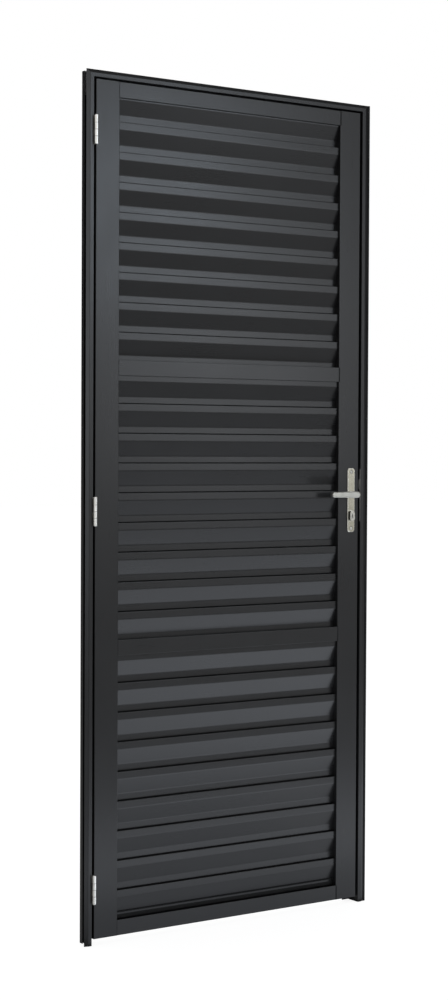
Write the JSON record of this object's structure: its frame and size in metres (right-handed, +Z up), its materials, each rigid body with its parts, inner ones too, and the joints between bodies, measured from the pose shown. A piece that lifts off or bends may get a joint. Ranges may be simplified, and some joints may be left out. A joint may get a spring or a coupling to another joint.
{
  "type": "louvred door",
  "caption": "Hinged louvred door leaf with full-width Z-profile blades in a three-sided metal frame, with knuckle hinges and a lever lock.",
  "frame": {"origin": "lower hinge-side corner of the wall opening on the room face of the wall: the floor level end of the hinge jamb's wall-side face, at its front edge", "axes": "+X from the hinge side to the lock side, +Y from the room through the wall, +Z up; the leaf is closed and the room side looks along -Y"},
  "size_m": [0.86, 0.1012, 2.1],
  "materials": {
    "black_coat": "satin",
    "hinge_silver": "satin",
    "lock_nickel": "satin",
    "lever_satin": "satin",
    "bare_aluminium": "satin"
  },
  "bodies": {
    "frame": {"hinge_jamb": "black_coat", "lock_jamb": "black_coat", "header": "black_coat", "hinge_trim": "black_coat", "lock_trim": "black_coat", "head_trim": "black_coat", "hinge_corner_plate": "bare_aluminium", "lock_corner_plate": "bare_aluminium", "strike_plate": "hinge_silver", "frame_hinge_high": "hinge_silver", "frame_hinge_middle": "hinge_silver", "frame_hinge_low": "hinge_silver"},
    "leaf": {"hinge_stile": "black_coat", "lock_stile": "black_coat", "top_rail": "black_coat", "upper_mid_rail": "black_coat", "lower_mid_rail": "black_coat", "bottom_rail": "black_coat", "upper_blade_1": "black_coat", "upper_blade_2": "black_coat", "upper_blade_3": "black_coat", "upper_blade_4": "black_coat", "upper_blade_5": "black_coat", "upper_blade_6": "black_coat", "upper_blade_7": "black_coat", "upper_blade_8": "black_coat", "upper_blade_9": "black_coat", "middle_blade_1": "black_coat", "middle_blade_2": "black_coat", "middle_blade_3": "black_coat", "middle_blade_4": "black_coat", "middle_blade_5": "black_coat", "middle_blade_6": "black_coat", "middle_blade_7": "black_coat", "middle_blade_8": "black_coat", "middle_blade_9": "black_coat", "lower_blade_1": "black_coat", "lower_blade_2": "black_coat", "lower_blade_3": "black_coat", "lower_blade_4": "black_coat", "lower_blade_5": "black_coat", "lower_blade_6": "black_coat", "lower_blade_7": "black_coat", "lower_blade_8": "black_coat", "lower_blade_9": "black_coat", "door_hinge_high": "hinge_silver", "door_hinge_middle": "hinge_silver", "door_hinge_low": "hinge_silver", "lock_case": "hinge_silver", "key_cylinder": "lock_nickel", "inside_lock_plate": "lock_nickel", "outside_lock_plate": "lock_nickel"},
    "lever": {"inside_lever": "lever_satin", "outside_lever": "lever_satin", "spindle": "hinge_silver"},
    "latch": {"latch_bolt": "lock_nickel"}
  },
  "joints": [
    {"name": "leaf_swing", "type": "hinge", "parent": "frame", "child": "leaf", "pos_m": [0.011, -0.009, 1.047], "axis": [0, 0, -1], "range_deg": [0, 170]},
    {"name": "lever_turn", "type": "hinge", "parent": "leaf", "child": "lever", "pos_m": [0.7969, 0.015, 1.08], "axis": [0, -1, 0], "range_deg": [0, 45], "stiffness_Nm_per_rad": 2, "springref_deg": -17.19},
    {"name": "latch_slide", "type": "slide", "parent": "leaf", "child": "latch", "axis": [-1, 0, 0], "range_m": [0, 0.012]}
  ],
  "couplings": [
    {"joint": "latch_slide", "follows": "lever_turn", "m_per_rad": 0.01527}
  ]
}
